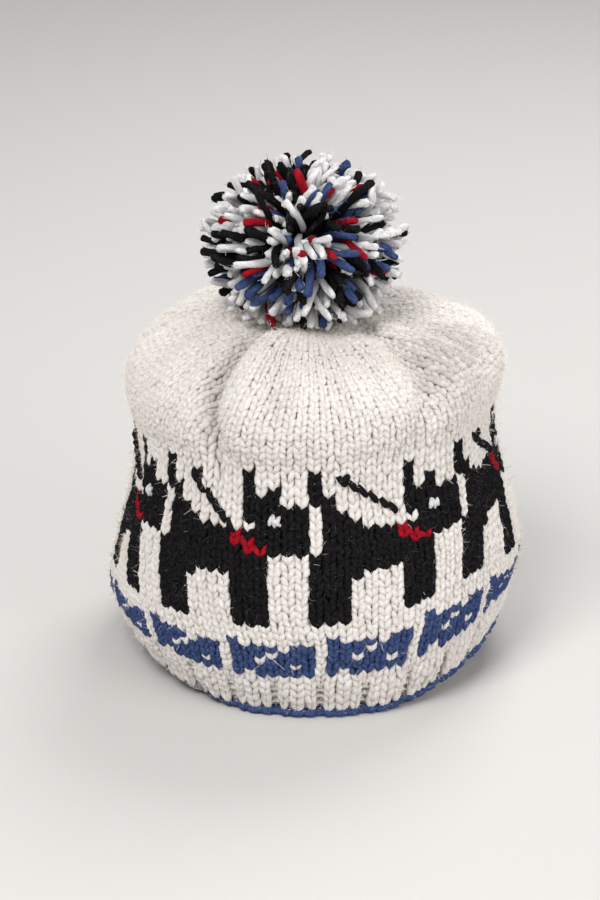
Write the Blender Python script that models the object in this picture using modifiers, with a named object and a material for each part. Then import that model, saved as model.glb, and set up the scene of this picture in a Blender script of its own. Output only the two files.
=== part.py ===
"""Knitted tea cosy with a pompom, standing on its hem (metres, +Z up, front towards -Y).

The knitting is one tube of stitches. A point on it is named by its wale (the column of stitches,
counted from the front towards +X) and its row (counted up from the cast-on edge).
"""
import math
import random

import bmesh
import bpy
import numpy as np
from mathutils import Matrix, Vector

MM = 0.001

# Knitting
STITCHES = 112
FABRIC_THICKNESS = 3.5 * MM
RIB_REPEAT = 4          # three knit stitches and one purl stitch
RIB_END_ROWS = (4.0, 6.5)
RIB_DEPTH = 1.7 * MM    # the purl wale lies this far behind the knit ones

# One wale of the resting cosy: row, height and radius in millimetres
PROFILE = (
    # row, height, radius
    (0.0, 0.0, 79.6),
    (1.0, 3.6, 79.6),
    (3.0, 11.2, 82.6),
    (7.0, 25.0, 85.4),
    (12.0, 39.2, 86.5),
    (18.0, 56.6, 84.2),
    (24.0, 73.4, 80.1),
    (30.0, 92.8, 75.6),
    (34.0, 107.2, 74.9),
    (38.0, 118.6, 76.8),
    (41.0, 126.2, 76.1),
    (44.0, 132.8, 72.2),
    (47.0, 138.6, 64.8),
    (50.0, 142.8, 56.2),
    (54.0, 146.6, 44.0),
    (58.0, 148.2, 31.5),
    (62.0, 147.0, 19.0),
    (65.0, 144.6, 9.5),
)
CROWN_CENTRE_HEIGHT = 144.0 * MM
CROWN_LEAN = -2.5 * MM  # the crown has slipped towards -X
LEAN_ROWS = (20.0, 60.0)
DISH_ROWS = (46.0, 65.0)                # the flat top, below the pompom

SLOPE_STEP = 0.2        # rows to each side between which the profile's slope is read

# The rows climb towards +X, and the hem is drawn up below the spout and the handle
ROW_TILT = 0.058
TILT_ROWS = (1.0, 9.0, 38.0, 52.0)      # none, full, still full, none again
HEM_LIFT_SPOUT = 9.0 * MM
HEM_LIFT_HANDLE = 15.0 * MM
HEM_LIFT_ROWS = (1.0, 16.0)             # full below the first, none above the second
HEM_FLAT_SINE = 0.34                    # the hem rests where |sin(azimuth)| is under this
HEM_LIFT_POWER = 1.5

# Slits: wale, first and last row, half gape in degrees
SPOUT_SLIT = (84, 11.0, 36.0, 9.0)
HANDLE_SLIT = (28, 12.0, 35.0, 6.6)
GAPE_SPREAD = 48.0      # degrees of fabric on each side that the gape pushes together
GAPE_POWER = 0.8        # under 1 rounds the ends of the gape

# The pot's shoulders draw the wales of the front and back apart: degrees at 45 degrees from
# the front, growing and fading between these rows.
FRONT_STRETCH = 7.5
STRETCH_ROWS = (6.0, 27.0, 36.0, 50.0)

# Slack of the whole tube: waves round it, size in millimetres, phase in degrees
SLACK_WAVES = (
    # waves, size, phase
    (2, 0.9, 40.0),
    (3, 0.8, 205.0),
    (5, 0.5, 90.0),
)
SLACK_ROWS = (6.0, 18.0, 44.0, 54.0)

# Creases of the gathered crown: azimuth in degrees at row 50, degrees it swings for each row
# above or below that, half width and depth in millimetres (a ridge is negative), first full row
CREASES = (
    # azimuth, swing, half_width, depth, from_row
    (-36.5, -0.40, 5.8, 5.8, 36.0),
    (-14.0, -0.30, 4.6, 2.6, 42.0),
    (8.0, 0.10, 5.0, 3.0, 39.0),
    (24.0, 0.20, 4.2, 2.2, 44.0),
    (43.5, 0.65, 4.8, 4.6, 40.0),
    (72.0, 0.35, 6.0, 4.6, 43.0),
    (92.0, 0.10, 5.0, 3.0, 41.0),
    (118.0, -0.20, 4.8, 3.6, 42.0),
    (141.0, 0.25, 5.4, 2.8, 38.0),
    (165.0, -0.30, 4.6, 3.8, 41.0),
    (188.0, 0.20, 5.0, 2.8, 43.0),
    (211.0, 0.40, 5.2, 4.0, 40.0),
    (236.0, -0.15, 4.8, 3.0, 42.0),
    (262.0, 0.30, 5.2, 3.6, 39.0),
    (290.0, -0.40, 5.6, 3.4, 42.0),
    (309.0, -0.50, 4.4, 2.6, 44.0),
    (-22.5, -0.30, 9.0, -2.4, 40.0),
    (54.0, 0.30, 5.6, -1.6, 41.0),
)
CREASE_MIDDLE_ROW = 50.0
CREASE_FADE_ROWS = 6.0
CREASE_END_ROWS = (57.0, 63.0)

# Full shoulders: where the crown stands out over the pot's lid
SHOULDERS = (
    # azimuth, half_width in degrees, row, half_height in rows, size in millimetres
    (88.0, 30.0, 45.5, 5.0, 4.4),
    (-96.0, 22.0, 41.0, 4.0, 1.6),
)

# Rows at which the solid has a ring of points
SOLID_ROWS = (
    0, 1, 2.5, 4.5, 6, 7.5,             # ribbed hem
    11, 14, 18, 23, 28, 32.5,           # wall
    36, 38.5, 41, 43.5, 46, 49,         # shoulder
    52.5, 56.5, 60.5, 64.5,             # crown
)

# Pompom
POMPOM_CENTRE = Vector((-4.0, -1.0, 175.0)) * MM
POMPOM_RADII = Vector((42.5, 41.5, 37.6)) * MM
POMPOM_HEAD_SHARE = 0.74  # of its radii: within this its locks are one mass
POMPOM_LOCKS = 200
LOCK_STEPS = 3
LOCK_WIDENING = 1.28    # the free end of a lock against its root
LOCK_SWAY = 0.10        # sideways bend as a share of the length
LOCK_UNEVENNESS = 0.16  # share of the length by which locks differ
CROWN_CLEARANCE = 5.0 * MM
LOCK_TRIM = 0.5 * MM
SHORTEST_LOCK = 2.0 * MM
TIE_GAP = 0.8 * MM      # below the tie's middle; its rim is nearer to the dished crown
TIE_HEIGHT = 3.0 * MM

CREAM = (0.83, 0.80, 0.73, 1.0)
POMPOM_WHITE = (0.80, 0.82, 0.86, 1.0)


def smooth_step(low, high, value):
    """0 below low, 1 above high and an even S between them."""
    share = np.clip((value - low) / (high - low), 0.0, 1.0)
    return share * share * (3.0 - 2.0 * share)


def plateau(limits, value):
    """0, rising to 1 between the first two limits and falling to 0 between the last two."""
    rise_low, rise_high, fall_low, fall_high = limits
    return smooth_step(rise_low, rise_high, value) * (1.0 - smooth_step(fall_low, fall_high, value))


def profile_at(row, column):
    """Height (column 1) or radius (column 2) of the profile, a cubic through its points."""
    table = np.array(PROFILE)
    rows, values = table[:, 0], table[:, column] * MM
    slopes = np.gradient(values, rows)
    i = np.clip(np.searchsorted(rows, row, side="right") - 1, 0, len(rows) - 2)
    span = rows[i + 1] - rows[i]
    t = (row - rows[i]) / span
    start = (1 + 2 * t) * (1 - t) ** 2 * values[i] + t * (1 - t) ** 2 * span * slopes[i]
    end = t * t * (3 - 2 * t) * values[i + 1] + t * t * (t - 1) * span * slopes[i + 1]
    return start + end


def rib_recess(wale, row):
    """How far the purl wales of the hem lie behind the knit ones."""
    in_purl = 0.5 + 0.5 * np.cos(2 * math.pi * (wale - 0.5) / RIB_REPEAT)
    return RIB_DEPTH * in_purl ** 3 * (1.0 - smooth_step(*RIB_END_ROWS, row))


def crease_depth(azimuth, row, radius):
    """Depth of the crown's creases at a point, along the fabric's normal."""
    depth = np.zeros_like(azimuth * row)
    for place, swing, half_width, size, from_row in CREASES:
        middle = np.radians(place + swing * (row - CREASE_MIDDLE_ROW))
        apart = (azimuth - middle + math.pi) % (2 * math.pi) - math.pi
        across = radius * apart / (half_width * MM)
        along = smooth_step(from_row - CREASE_FADE_ROWS, from_row + CREASE_FADE_ROWS, row)
        depth = depth + size * MM * np.exp(-0.5 * across * across) * along
    return depth * (1.0 - smooth_step(*CREASE_END_ROWS, row))


def shoulder_swell(azimuth, row):
    """How far the full shoulders stand out, along the fabric's normal."""
    total = np.zeros_like(azimuth * row)
    for middle, half_width, middle_row, half_height, size in SHOULDERS:
        apart = (azimuth - math.radians(middle) + math.pi) % (2 * math.pi) - math.pi
        across = apart / math.radians(half_width)
        along = (row - middle_row) / half_height
        total = total + size * MM * np.exp(-0.5 * (across * across + along * along))
    return total


def gaped_azimuth(wale, row, side):
    """Azimuth of a wale; side is +1 or -1 for the fabric just after or before a slit."""
    azimuth = 360.0 * wale / STITCHES
    stretch = FRONT_STRETCH * np.sin(np.radians(2.0 * azimuth))
    moved = azimuth + stretch * plateau(STRETCH_ROWS, row)
    for slit_wale, first, last, half_gape in (SPOUT_SLIT, HANDLE_SLIT):
        apart = (azimuth - 360.0 * slit_wale / STITCHES + 180.0) % 360.0 - 180.0
        way = np.where(apart == 0.0, side, np.sign(apart))
        nearness = np.clip(1.0 - np.abs(apart) / GAPE_SPREAD, 0.0, 1.0)
        open_share = np.sin(math.pi * np.clip((row - first) / (last - first), 0.0, 1.0)) ** GAPE_POWER
        moved = moved + way * half_gape * open_share * nearness ** 2
    return np.radians(moved)


def fabric_point(wale, row, side=1.0):
    """Outer face of the knitting at a wale and a row, as x, y and z."""
    azimuth = gaped_azimuth(wale, row, side)
    height, radius = profile_at(row, 1), profile_at(row, 2)
    rise = profile_at(row + SLOPE_STEP, 1) - profile_at(row - SLOPE_STEP, 1)
    spread = profile_at(row + SLOPE_STEP, 2) - profile_at(row - SLOPE_STEP, 2)
    length = np.hypot(rise, spread)
    slack = sum(size * MM * np.sin(waves * azimuth + math.radians(phase))
                for waves, size, phase in SLACK_WAVES)
    inward = rib_recess(wale, row) + crease_depth(azimuth, row, radius)
    inward = inward - slack * plateau(SLACK_ROWS, row) - shoulder_swell(azimuth, row)
    radius = radius - inward * rise / length
    height = height + inward * spread / length
    sine = np.sin(azimuth)
    side_share = np.clip((np.abs(sine) - HEM_FLAT_SINE) / (1.0 - HEM_FLAT_SINE), 0.0, 1.0)
    full_lift = np.where(sine < 0.0, HEM_LIFT_SPOUT, HEM_LIFT_HANDLE)
    lift = full_lift * side_share ** HEM_LIFT_POWER * (1.0 - smooth_step(*HEM_LIFT_ROWS, row))
    tilt = ROW_TILT * radius * sine * plateau(TILT_ROWS, row)
    lean = CROWN_LEAN * smooth_step(*LEAN_ROWS, row)
    return radius * sine + lean, -radius * np.cos(azimuth), height + lift + tilt


def crown_height(x, y):
    """Height of the crown below a point of the pompom, without its creases."""
    distance = math.hypot(x - CROWN_LEAN, y)
    rows = np.linspace(*DISH_ROWS, 80)
    radii, heights = profile_at(rows, 2), profile_at(rows, 1)
    return float(np.interp(distance, radii[::-1], heights[::-1]))


def make_material(name, colour, roughness):
    """A plain Principled material."""
    material = bpy.data.materials.new(name)
    material.diffuse_color = colour
    material.use_nodes = True
    shader = material.node_tree.nodes["Principled BSDF"]
    shader.inputs["Base Color"].default_value = colour
    shader.inputs["Roughness"].default_value = roughness
    shader.inputs["Metallic"].default_value = 0.0
    return material


def slit_rows(slit):
    """The ring numbers of SOLID_ROWS strictly inside a slit, where its two edges part."""
    first, last = slit[1], slit[2]
    return {ring for ring, row in enumerate(SOLID_ROWS) if first < row < last}


def make_knitting(collection):
    """The knitted tube: an open sheet with two slits and a closed crown, made solid inwards."""
    mesh = bmesh.new()
    parted = {SPOUT_SLIT[0]: slit_rows(SPOUT_SLIT), HANDLE_SLIT[0]: slit_rows(HANDLE_SLIT)}

    def ring_of_points(row, side):
        points = fabric_point(np.arange(STITCHES, dtype=float), np.full(STITCHES, float(row)), side)
        return list(zip(*(part.tolist() for part in points)))

    after, before = [], []
    for ring, row in enumerate(SOLID_ROWS):
        after.append([mesh.verts.new(point) for point in ring_of_points(row, 1.0)])
        before.append(list(after[-1]))
        left_points = ring_of_points(row, -1.0)
        for wale, rings in parted.items():
            if ring in rings:
                before[-1][wale] = mesh.verts.new(left_points[wale])
    for ring in range(len(SOLID_ROWS) - 1):
        for wale in range(STITCHES):
            following = (wale + 1) % STITCHES
            mesh.faces.new((after[ring][wale], before[ring][following],
                            before[ring + 1][following], after[ring + 1][wale]))
    centre = mesh.verts.new((CROWN_LEAN, 0.0, CROWN_CENTRE_HEIGHT))
    for wale in range(STITCHES):
        mesh.faces.new((after[-1][wale], before[-1][(wale + 1) % STITCHES], centre))

    data = bpy.data.meshes.new("cosy")
    mesh.to_mesh(data)
    mesh.free()
    cosy = bpy.data.objects.new("cosy", data)
    collection.objects.link(cosy)
    data.materials.append(make_material("cream wool", CREAM, 0.9))
    data.shade_smooth()
    wall = cosy.modifiers.new("wall", "SOLIDIFY")
    wall.thickness = FABRIC_THICKNESS
    wall.offset = -1.0
    return cosy


def lock_length(direction, spread):
    """From the head's surface to the pompom's surface, or to just above the crown."""
    stretch = math.sqrt(sum((direction[i] / POMPOM_RADII[i]) ** 2 for i in range(3)))
    head_reach = POMPOM_HEAD_SHARE / stretch
    reach = spread / stretch
    while reach > head_reach:
        tip = POMPOM_CENTRE + direction * reach
        if tip.z > crown_height(tip.x, tip.y) + CROWN_CLEARANCE:
            break
        reach -= LOCK_TRIM
    return reach - head_reach


def choose_roots(mesh, dice):
    """Faces of the head that share no corner, so that the locks on them stand apart."""
    taken, roots = set(), []
    order = list(mesh.faces)
    dice.shuffle(order)
    for face in order:
        corners = set(face.verts)
        if corners & taken:
            continue
        roots.append(face)
        taken |= corners
        if len(roots) == POMPOM_LOCKS:
            break
    return roots


def make_pompom(collection):
    """A round head whose locks of yarn are drawn out of its faces, with the tie below it."""
    dice = random.Random(7)
    mesh = bmesh.new()
    bmesh.ops.create_icosphere(mesh, subdivisions=4, radius=POMPOM_HEAD_SHARE)
    bmesh.ops.scale(mesh, vec=POMPOM_RADII, verts=mesh.verts)
    lowest = min(mesh.verts, key=lambda corner: corner.co.z)
    seat_height = CROWN_CENTRE_HEIGHT + TIE_GAP - POMPOM_CENTRE.z
    for corner in mesh.verts:
        if corner is lowest or any(edge.other_vert(corner) is lowest for edge in corner.link_edges):
            corner.co = Vector((corner.co.x, corner.co.y, seat_height))
    above_tie = seat_height + TIE_HEIGHT
    roots = [face for face in choose_roots(mesh, dice) if face.calc_center_median().z > above_tie]
    for face in roots:
        direction = face.calc_center_median().normalized()
        length = lock_length(direction, 1.0 - LOCK_UNEVENNESS * dice.random())
        if length < SHORTEST_LOCK:
            continue
        sway = Vector([dice.uniform(-1.0, 1.0) for _ in range(3)]).cross(direction) * LOCK_SWAY
        for step in range(LOCK_STEPS):
            drawn = bmesh.ops.extrude_discrete_faces(mesh, faces=[face])["faces"]
            face = drawn[0]
            middle = face.calc_center_median()
            turn = direction + sway * (step + 0.5)
            widening = LOCK_WIDENING ** (1.0 / LOCK_STEPS)
            for corner in face.verts:
                corner.co = middle + (corner.co - middle) * widening + turn * length / LOCK_STEPS
    data = bpy.data.meshes.new("pompom")
    mesh.to_mesh(data)
    mesh.free()
    pompom = bpy.data.objects.new("pompom", data)
    pompom.matrix_world = Matrix.Translation(POMPOM_CENTRE)
    collection.objects.link(pompom)
    data.materials.append(make_material("pompom wool", POMPOM_WHITE, 0.9))
    return pompom


def main():
    for item in list(bpy.data.objects):
        bpy.data.objects.remove(item, do_unlink=True)
    collection = bpy.data.collections.new("tea_cosy")
    bpy.context.scene.collection.children.link(collection)
    make_knitting(collection)
    make_pompom(collection)


main()
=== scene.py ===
"""Knitted tea cosy with a pompom: stitch-by-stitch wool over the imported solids.

Every size is in metres. Places on the knitting are given as a wale (stitch column, 112 round,
wale 0 at the front) and a row (counted up from the hem), the same as in the solids' source.
"""
import math

import bpy
import numpy as np
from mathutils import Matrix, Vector


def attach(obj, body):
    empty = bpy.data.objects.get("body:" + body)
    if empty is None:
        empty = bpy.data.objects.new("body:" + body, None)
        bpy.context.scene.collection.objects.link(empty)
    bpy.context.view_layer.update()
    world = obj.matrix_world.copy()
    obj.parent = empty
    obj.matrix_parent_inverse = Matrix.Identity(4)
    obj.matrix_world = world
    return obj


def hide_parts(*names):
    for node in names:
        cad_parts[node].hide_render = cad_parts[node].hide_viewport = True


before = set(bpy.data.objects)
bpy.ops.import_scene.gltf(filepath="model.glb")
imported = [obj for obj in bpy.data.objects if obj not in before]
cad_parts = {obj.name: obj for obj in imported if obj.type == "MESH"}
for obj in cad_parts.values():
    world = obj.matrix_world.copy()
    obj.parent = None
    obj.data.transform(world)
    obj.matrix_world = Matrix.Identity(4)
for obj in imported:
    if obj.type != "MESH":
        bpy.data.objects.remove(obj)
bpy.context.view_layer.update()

bl_info = {
    "name": "Knitted tea cosy",
    "version": (1, 0, 0),
    "blender": (4, 5, 0),
    "location": "3D View > Sidebar > Cosy",
    "description": "Colourwork tea cosy with ribbed hem, pot openings and a cut-yarn pompom",
    "category": "Object",
}

MM = 0.001
FULL_TURN = 2.0 * math.pi

# ---- the knitted tube, as in the solids ----

STITCHES = 112
RIB_REPEAT = 4
RIB_END_ROWS = (4.0, 6.5)
RIB_DEPTH = 1.7 * MM
PROFILE = (
    # row, height mm, radius mm
    (0.0, 0.0, 79.6), (1.0, 3.6, 79.6), (3.0, 11.2, 82.6), (7.0, 25.0, 85.4),
    (12.0, 39.2, 86.5), (18.0, 56.6, 84.2), (24.0, 73.4, 80.1), (30.0, 92.8, 75.6),
    (34.0, 107.2, 74.9), (38.0, 118.6, 76.8), (41.0, 126.2, 76.1), (44.0, 132.8, 72.2),
    (47.0, 138.6, 64.8), (50.0, 142.8, 56.2), (54.0, 146.6, 44.0), (58.0, 148.2, 31.5),
    (62.0, 147.0, 19.0), (65.0, 144.6, 9.5),
)
CROWN_LEAN = -2.5 * MM
LEAN_ROWS = (20.0, 60.0)
DISH_ROWS = (46.0, 65.0)
SLOPE_STEP = 0.2
ROW_TILT = 0.058
TILT_ROWS = (1.0, 9.0, 38.0, 52.0)
HEM_LIFT_SPOUT = 9.0 * MM
HEM_LIFT_HANDLE = 15.0 * MM
HEM_LIFT_ROWS = (1.0, 16.0)
HEM_FLAT_SINE = 0.34
HEM_LIFT_POWER = 1.5
SPOUT_SLIT = (84, 11.0, 36.0, 9.0)  # wale, first row, last row, half gape in degrees
HANDLE_SLIT = (28, 12.0, 35.0, 6.6)
GAPE_SPREAD = 48.0
GAPE_POWER = 0.8
FRONT_STRETCH = 7.5
STRETCH_ROWS = (6.0, 27.0, 36.0, 50.0)
FRONT_SHIFT = -1.6  # degrees; the front and the back hang a little to one side
SHIFT_ROWS = (10.0, 16.0, 36.0, 50.0)
SLIPS = (
    # azimuth, half width degrees, row, half height rows, degrees it slips round, rows up
    (28, 9, 30, 6, -2, -0.8), (27, 12, 15, 4, 1.6, 0.6), (47, 11, 15, 5, 0.4, 1.6),
    (66, 10, 25, 5.5, 0, 3), (44, 6, 32, 5, 1.6, -0.4), (-54, 9, 24, 10, -3, 0),
)
RIB_PULL = 0.42  # how far a furrow of the rib closes up
SLACK_WAVES = ((2, 0.9, 40), (3, 0.8, 205), (5, 0.5, 90))  # waves round, mm, phase
SLACK_ROWS = (6.0, 18.0, 44.0, 54.0)
CREASES = (
    # azimuth, degrees it swings a row, half width mm, depth mm (below 0 it stands out), first row
    (-36.5, -0.4, 4.6, 8.2, 35), (-35, -0.2, 2.4, 2.6, 32), (-14, -0.3, 4, 3.2, 43),
    (8, 0.1, 5, 3, 39), (24, 0.2, 4.2, 2.2, 44), (43.5, 0.65, 4.4, 5.6, 40),
    (72, 0.35, 6, 4.6, 43), (92, 0.1, 5, 3, 41), (118, -0.2, 4.8, 3.6, 42),
    (141, 0.25, 5.4, 2.8, 38), (165, -0.3, 4.6, 3.8, 41), (188, 0.2, 5, 2.8, 43),
    (211, 0.4, 5.2, 4, 40), (236, -0.15, 4.8, 3, 42), (262, 0.3, 5.2, 3.6, 39),
    (290, -0.4, 5.6, 3.4, 42), (309, -0.5, 4.4, 2.6, 44), (-23.5, -0.3, 8, -3.2, 39),
    (54, 0.3, 5.6, -1.6, 41),
)
CREASE_MIDDLE_ROW = 50.0
CREASE_FADE_ROWS = 6.0
CREASE_END_ROWS = (57.0, 63.0)
SHOULDERS = (
    # azimuth, half width degrees, row, half height rows, size mm
    (88, 30, 45.5, 5, 4.4), (-96, 22, 41, 4, 1.6),
)
LAST_ROW = 65

POMPOM_CENTRE = np.array((-4.0, -1.0, 175.0)) * MM
POMPOM_RADII = np.array((42.5, 41.5, 37.6)) * MM


def smooth_step(low, high, value):
    """0 below low, 1 above high and a smooth rise between."""
    share = np.clip((value - low) / (high - low), 0.0, 1.0)
    return share * share * (3.0 - 2.0 * share)


def plateau(limits, value):
    """0, rising to 1 between the first two limits and falling to 0 between the last two."""
    return smooth_step(*limits[:2], value) * (1.0 - smooth_step(*limits[2:], value))


def apart(one, other, turn=360.0):
    """The shorter way round from the other angle to the one."""
    return (one - other + turn / 2.0) % turn - turn / 2.0


def mound(azimuth, row, middle, half_width, middle_row, half_height, turn=360.0):
    """1 at a place on the cloth, fading to 0 round it."""
    across = apart(azimuth, middle, turn) / half_width
    along = (row - middle_row) / half_height
    return np.exp(-0.5 * (across * across + along * along))


def profile_at(row, column):
    """Height (column 1) or radius (column 2) of the profile at a row, by a cubic through it."""
    rows = np.array([point[0] for point in PROFILE])
    values = np.array([point[column] for point in PROFILE]) * MM
    slopes = np.gradient(values, rows)
    row = np.clip(row, rows[0], rows[-1])
    index = np.clip(np.searchsorted(rows, row, side="right") - 1, 0, len(rows) - 2)
    step = rows[index + 1] - rows[index]
    t = (row - rows[index]) / step
    return (values[index] * (1 + 2 * t) * (1 - t) ** 2 + slopes[index] * step * t * (1 - t) ** 2
            + values[index + 1] * t * t * (3 - 2 * t) + slopes[index + 1] * step * t * t * (t - 1))


def rib_recess(wale, row):
    """How deep the face lies in the furrow of a purl wale."""
    in_purl = 0.5 + 0.5 * np.cos(FULL_TURN * (wale - 0.5) / RIB_REPEAT)
    return RIB_DEPTH * in_purl ** 3 * (1.0 - smooth_step(*RIB_END_ROWS, row))


def crease_depth(azimuth, row, radius):
    """Depth of the crown's creases; azimuth in radians."""
    total = np.zeros(np.shape(azimuth))
    for middle, swing, half_width, depth, first_row in CREASES:
        line = math.radians(middle) + math.radians(swing) * (row - CREASE_MIDDLE_ROW)
        across = radius * apart(azimuth, line, FULL_TURN) / (half_width * MM)
        along = smooth_step(first_row - CREASE_FADE_ROWS, first_row + CREASE_FADE_ROWS, row)
        total = total + depth * MM * np.exp(-0.5 * across * across) * along
    return total * (1.0 - smooth_step(*CREASE_END_ROWS, row))


def shoulder_swell(azimuth, row):
    """How far the full shoulders stand out, along the fabric's normal; azimuth in radians."""
    return sum(size * MM * mound(azimuth, row, math.radians(middle), math.radians(half_width),
                                 middle_row, half_height, FULL_TURN)
               for middle, half_width, middle_row, half_height, size in SHOULDERS)


def slip(azimuth, row):
    """How far the cloth has slipped over the pot's shape: degrees round and rows up."""
    degrees, rows = 0.0, 0.0
    for *place, round_it, up_it in SLIPS:
        share = mound(azimuth, row, *place)
        degrees = degrees + round_it * share
        rows = rows + up_it * share
    return degrees, rows


def gaped_azimuth(wale, row, side):
    """Azimuth in radians; side is +1 or -1 for the fabric just after or before a slit."""
    azimuth = 360.0 * wale / STITCHES
    stretch = FRONT_STRETCH * np.sin(np.radians(2.0 * azimuth))
    turn = FULL_TURN / RIB_REPEAT
    pull = RIB_PULL * np.sin(turn * (wale - 0.5)) / turn * (1.0 - smooth_step(*RIB_END_ROWS, row))
    shift = FRONT_SHIFT * np.cos(np.radians(azimuth)) * plateau(SHIFT_ROWS, row)
    moved = azimuth + stretch * plateau(STRETCH_ROWS, row) + shift - 360.0 * pull / STITCHES
    moved = moved + slip(azimuth, row)[0]
    for slit_wale, first, last, half_gape in (SPOUT_SLIT, HANDLE_SLIT):
        away = apart(azimuth, 360.0 * slit_wale / STITCHES)
        way = np.where(away == 0.0, side, np.sign(away))
        nearness = np.clip(1.0 - np.abs(away) / GAPE_SPREAD, 0.0, 1.0)
        along = np.clip((row - first) / (last - first), 0.0, 1.0)
        open_share = np.sin(math.pi * along) ** GAPE_POWER
        moved = moved + way * half_gape * open_share * nearness ** 2
    return np.radians(moved)


def fabric_point(wale, row, side=1.0):
    """Outer face of the knitting at wales and rows, as an array with x, y and z last."""
    azimuth = gaped_azimuth(wale, row, side)
    level = row + slip(360.0 * wale / STITCHES, row)[1]
    height, radius = profile_at(level, 1), profile_at(level, 2)
    rise, spread = (profile_at(level + SLOPE_STEP, column) - profile_at(level - SLOPE_STEP, column)
                    for column in (1, 2))
    length = np.hypot(rise, spread)
    slack = sum(size * MM * np.sin(waves * azimuth + math.radians(phase))
                for waves, size, phase in SLACK_WAVES)
    inward = rib_recess(wale, row) + crease_depth(azimuth, row, radius)
    inward = inward - slack * plateau(SLACK_ROWS, row) - shoulder_swell(azimuth, row)
    radius = radius - inward * rise / length
    height = height + inward * spread / length
    sine = np.sin(azimuth)
    side_share = np.clip((np.abs(sine) - HEM_FLAT_SINE) / (1.0 - HEM_FLAT_SINE), 0.0, 1.0)
    full_lift = np.where(sine < 0.0, HEM_LIFT_SPOUT, HEM_LIFT_HANDLE)
    lift = full_lift * side_share ** HEM_LIFT_POWER * (1.0 - smooth_step(*HEM_LIFT_ROWS, row))
    tilt = ROW_TILT * radius * sine * plateau(TILT_ROWS, row)
    lean = CROWN_LEAN * smooth_step(*LEAN_ROWS, row)
    return np.stack((radius * sine + lean, -radius * np.cos(azimuth), height + lift + tilt), -1)


def unit(vectors):
    """Vectors at length 1."""
    return vectors / np.maximum(np.linalg.norm(vectors, axis=-1, keepdims=True), 1e-12)


NUDGE = 0.03  # wales or rows to each side between which slopes on the cloth are read
SLIT_JUMP = 1.0 * MM  # a step round longer than this crosses a slit
NO_LIMIT = 1.0  # width in metres of the step there, so that yarn isn't thinned


def off_fabric(wale, row, out):
    """Points that stand `out` metres off the knitting's face, its normals and a stitch's width."""
    side = np.ones(np.shape(wale))
    round_step = fabric_point(wale + NUDGE, row, side) - fabric_point(wale - NUDGE, row, -side)
    jumped = np.linalg.norm(round_step, axis=-1) > SLIT_JUMP
    beside = fabric_point(wale + 2 * NUDGE, row) - fabric_point(wale + NUDGE, row) + 1e-9
    round_step = np.where(jumped[..., None], beside, round_step)
    up_step = fabric_point(wale, row + NUDGE) - fabric_point(wale, row - NUDGE)
    normal = unit(np.cross(round_step, up_step))
    point = fabric_point(wale, row) + normal * np.asarray(out)[..., None]
    width = np.where(jumped, NO_LIMIT, np.linalg.norm(round_step, axis=-1)) / (2.0 * NUDGE)
    return point, normal, width


# ---- the colourwork chart ----
# Top row first. K black, R red collar, B blue, w a speck of the ground, . the ground.

TERRIER = (
    "K.......K....",
    "K.......K....",
    "K.......K.K..",
    "KK......KKK..",
    ".K......KKKKK",
    ".KK.....KKKKK",
    ".KKK.....KKKK",
    ".KKKKKKRKKKKK",
    ".KKKKKKRRKKKK",
    ".KKKKKKKRRKKK",
    "KKKKKKKKKK...",
    "KKKKKKKKKK...",
    "KKKKKKKKKK...",
    "KKKK...KKK...",
    *6 * ["KKK....KKK..."],
)
TERRIER_FIRST_ROW = 14
TERRIERS_A_PANEL = 4  # each half between the slits has four, with plain wales at its ends
FIRST_TERRIER_WALE = 2
EYE_WALE = 10.5  # from the left of the chart
EYE_ROW = 14.2  # from its foot
BLOCK = (
    ".B......",
    ".BBBBwBB",
    ".BBBwBBB",
    ".BBwBBBB",
    ".BBBBBwB",
    ".B.BBBBB",
)
BLOCK_FIRST_ROW = 6
YARNS = {"K": "black", "R": "red", "B": "blue", "w": "cream", ".": "cream"}
LEADS = (
    # wale and row of a lead's top end, from the chart's lower left, and its step to the next stitch
    (2.1, 19.4, 0.88, -0.72), (3.1, 19.2, 0.73, -1.00),
)
LEAD_STITCHES = 6


def yarn_at(wale, row):
    """Name of the yarn of one stitch."""
    in_terrier = row - TERRIER_FIRST_ROW
    if 0 <= in_terrier < len(TERRIER):
        in_panel = (wale - SPOUT_SLIT[0]) % (STITCHES // 2) - FIRST_TERRIER_WALE
        if not 0 <= in_panel < TERRIERS_A_PANEL * len(TERRIER[0]):
            return "cream"
        return YARNS[TERRIER[len(TERRIER) - 1 - in_terrier][in_panel % len(TERRIER[0])]]
    in_block = row - BLOCK_FIRST_ROW
    if 0 <= in_block < len(BLOCK):
        return YARNS[BLOCK[len(BLOCK) - 1 - in_block][wale % len(BLOCK[0])]]
    return "cream"


# ---- wool ----

def linear(hex_colour):
    """sRGB hex to linear red, green, blue and alpha."""
    channels = [int(hex_colour[i:i + 2], 16) / 255.0 for i in (1, 3, 5)]
    return (*(c / 12.92 if c <= 0.04045 else ((c + 0.055) / 1.055) ** 2.4 for c in channels), 1.0)


def add_node(tree, kind, links=(), **settings):
    """Adds a node; settings go to its own properties, or else to its inputs by name."""
    node = tree.nodes.new(kind)
    for name, value in settings.items():
        if hasattr(node, name):
            setattr(node, name, value)
        else:
            node.inputs[name.replace("_", " ")].default_value = value
    for source, output, target in links:
        tree.links.new(source.outputs[output], node.inputs[target])
    return node


def plain_material(name, colour, **values):
    """A material of one colour; further values go to its shader's inputs by name."""
    material = bpy.data.materials.get(name)
    if material is None:
        material = bpy.data.materials.new(name)
        material.use_nodes = True
        inputs = material.node_tree.nodes["Principled BSDF"].inputs
        inputs["Base Color"].default_value = linear(colour)
        for label, value in values.items():
            inputs[label.replace("_", " ")].default_value = value
    return material


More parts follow.
